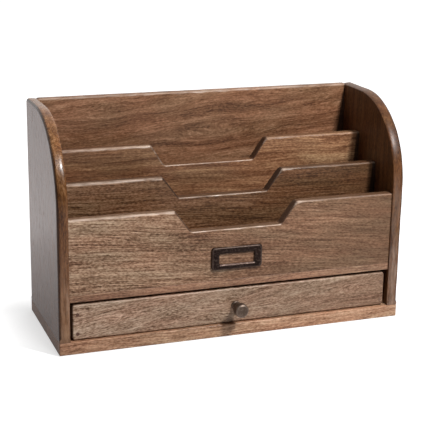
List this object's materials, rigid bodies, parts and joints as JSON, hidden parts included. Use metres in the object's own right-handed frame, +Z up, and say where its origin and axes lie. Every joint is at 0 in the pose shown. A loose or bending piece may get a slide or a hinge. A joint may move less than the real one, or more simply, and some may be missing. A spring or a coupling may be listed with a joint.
{
  "type": "letter holder",
  "caption": "Wooden desk letter holder with stepped notched dividers between rounded side panels, a metal card frame on the front and a shallow drawer with a round knob below.",
  "frame": {"origin": "middle of the base board's underside, on the desk", "axes": "+X to the right along the width, +Y to the back, +Z up"},
  "size_m": [0.356, 0.147, 0.224],
  "materials": {
    "wood_side": "satin lacquer, dark stain",
    "wood_board": "satin lacquer, dark stain",
    "wood_edge": "satin lacquer, dark stain",
    "wood_inner": "bare sanded wood",
    "bronze": "dark antique bronze, rubbed on the edges",
    "steel": "plain zinc-plated steel"
  },
  "bodies": {
    "carcass": {"base_board": "wood_edge", "left_side": "wood_side", "right_side": "wood_side", "back_panel": "wood_board", "drawer_shelf": "wood_edge", "front_panel": "wood_board", "middle_divider": "wood_board", "rear_divider": "wood_board", "label_frame": "bronze", "label_frame_pins": "bronze", "side_screws": "steel", "back_screws": "steel"},
    "drawer": {"drawer_front": "wood_board", "drawer_left_side": "wood_inner", "drawer_right_side": "wood_inner", "drawer_back": "wood_inner", "drawer_bottom": "wood_inner", "drawer_front_brads": "steel", "drawer_back_brads": "steel", "drawer_knob": "bronze", "knob_screw": "steel", "knob_washer": "steel"}
  },
  "joints": [
    {"name": "drawer_slide", "type": "slide", "parent": "carcass", "child": "drawer", "axis": [0, -1, 0], "range_m": [0, 0.095]}
  ]
}
